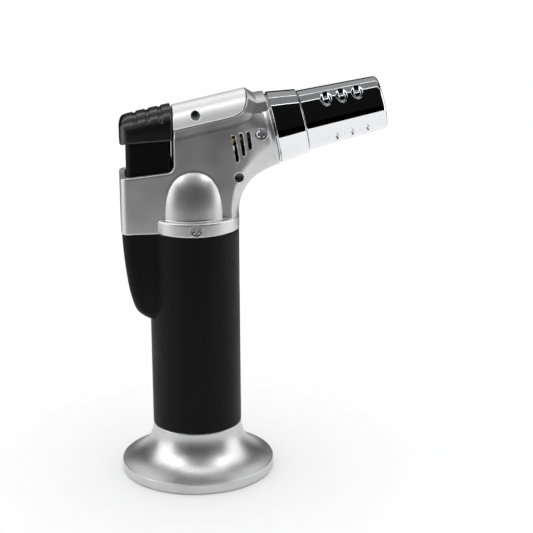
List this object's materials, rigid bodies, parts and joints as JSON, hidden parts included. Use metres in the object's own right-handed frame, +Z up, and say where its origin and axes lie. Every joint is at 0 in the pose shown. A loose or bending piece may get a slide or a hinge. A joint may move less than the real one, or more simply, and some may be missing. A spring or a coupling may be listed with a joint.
{
  "type": "butane torch",
  "caption": "Hand-held butane torch on a flared foot, with a round soft grip, a cast head, a thumb trigger and a chrome burner nozzle that leans forward.",
  "frame": {"origin": "centre of the foot, on the surface the torch stands on", "axes": "+Z up along the grip, +X forward, the way the nozzle points, +Y to the left of someone behind the torch"},
  "size_m": [0.104, 0.06, 0.155],
  "materials": {
    "satin_casting": "fine satin, bead blasted",
    "cover_metal": "fine satin",
    "bright_chrome": "mirror polished",
    "soft_grip": "matt soft-touch",
    "trigger_plastic": "satin moulded",
    "black_plastic": "fine moulded",
    "foot_rubber": "matt",
    "zinc_steel": "zinc plated",
    "spring_steel": "drawn wire",
    "burner_steel": "stainless, slightly heat darkened",
    "brass": "turned",
    "tank_plastic": "natural moulded",
    "dial_plastic": "moulded",
    "plunger_plastic": "moulded",
    "piezo_plastic": "moulded",
    "tube_plastic": "flexible tubing",
    "wire_jacket": "insulated wire",
    "seal_rubber": "smooth",
    "felt": "pressed felt",
    "white_ceramic": "unglazed"
  },
  "bodies": {
    "torch": {"base": "satin_casting", "base_plate": "black_plastic", "foot_pad": "foot_rubber", "base_screws": "zinc_steel", "grip_sleeve": "soft_grip", "fuel_tank": "tank_plastic", "tank_lid": "tank_plastic", "tank_seal": "seal_rubber", "fill_valve_body": "brass", "fill_valve_seal": "seal_rubber", "fill_valve_spring": "spring_steel", "outlet_valve_body": "brass", "outlet_valve_spring": "spring_steel", "fuel_filter": "felt", "head_shell": "satin_casting", "top_cover": "cover_metal", "nozzle_collar": "bright_chrome", "nozzle_tube": "bright_chrome", "flame_guard": "burner_steel", "mixer_tube": "burner_steel", "gas_jet": "brass", "flame_holder": "burner_steel", "neck_plate": "burner_steel", "ceramic_insulator": "white_ceramic", "spark_electrode": "spring_steel", "gas_tube": "tube_plastic", "ignition_wire": "wire_jacket", "lever_bracket": "zinc_steel", "lever_pin": "spring_steel", "piezo_body": "piezo_plastic", "trigger_spring": "spring_steel", "neck_screws": "zinc_steel", "ring_screws": "zinc_steel", "panel_screws": "zinc_steel"},
    "trigger": {"trigger_skirt": "black_plastic", "thumb_cap": "trigger_plastic", "piezo_plunger": "plunger_plastic"},
    "lever": {"valve_lever": "zinc_steel"},
    "outlet_stem": {"outlet_valve_stem": "brass"},
    "fill_stem": {"fill_valve_stem": "brass"},
    "adjuster": {"adjuster_dial": "dial_plastic", "regulator_rod": "brass"}
  },
  "joints": [
    {"name": "trigger_slide", "type": "slide", "parent": "torch", "child": "trigger", "axis": [0, 0, -1], "range_m": [0, 0.005], "stiffness_N_per_m": 1200, "springref_m": -0.003, "deforming": ["trigger_spring"]},
    {"name": "lever_pivot", "type": "hinge", "parent": "torch", "child": "lever", "pos_m": [-0.0005, 0, 0.104], "axis": [0, 1, 0], "range_deg": [0, 5]},
    {"name": "outlet_stem_slide", "type": "slide", "parent": "torch", "child": "outlet_stem", "axis": [0, 0, -1], "range_m": [0, 0.0007], "deforming": ["outlet_valve_spring"]},
    {"name": "fill_stem_slide", "type": "slide", "parent": "torch", "child": "fill_stem", "axis": [0, 0, 1], "range_m": [0, 0.0016], "stiffness_N_per_m": 800, "springref_m": -0.002, "deforming": ["fill_valve_spring"]},
    {"name": "flame_adjuster", "type": "hinge", "parent": "torch", "child": "adjuster", "pos_m": [0.0075, 0, 0.002], "axis": [0, 0, 1], "range_deg": [-135, 135]}
  ],
  "couplings": [
    {"joint": "lever_pivot", "follows": "trigger_slide", "rad_per_m": 16.756},
    {"joint": "outlet_stem_slide", "follows": "trigger_slide", "ratio": 0.134}
  ]
}
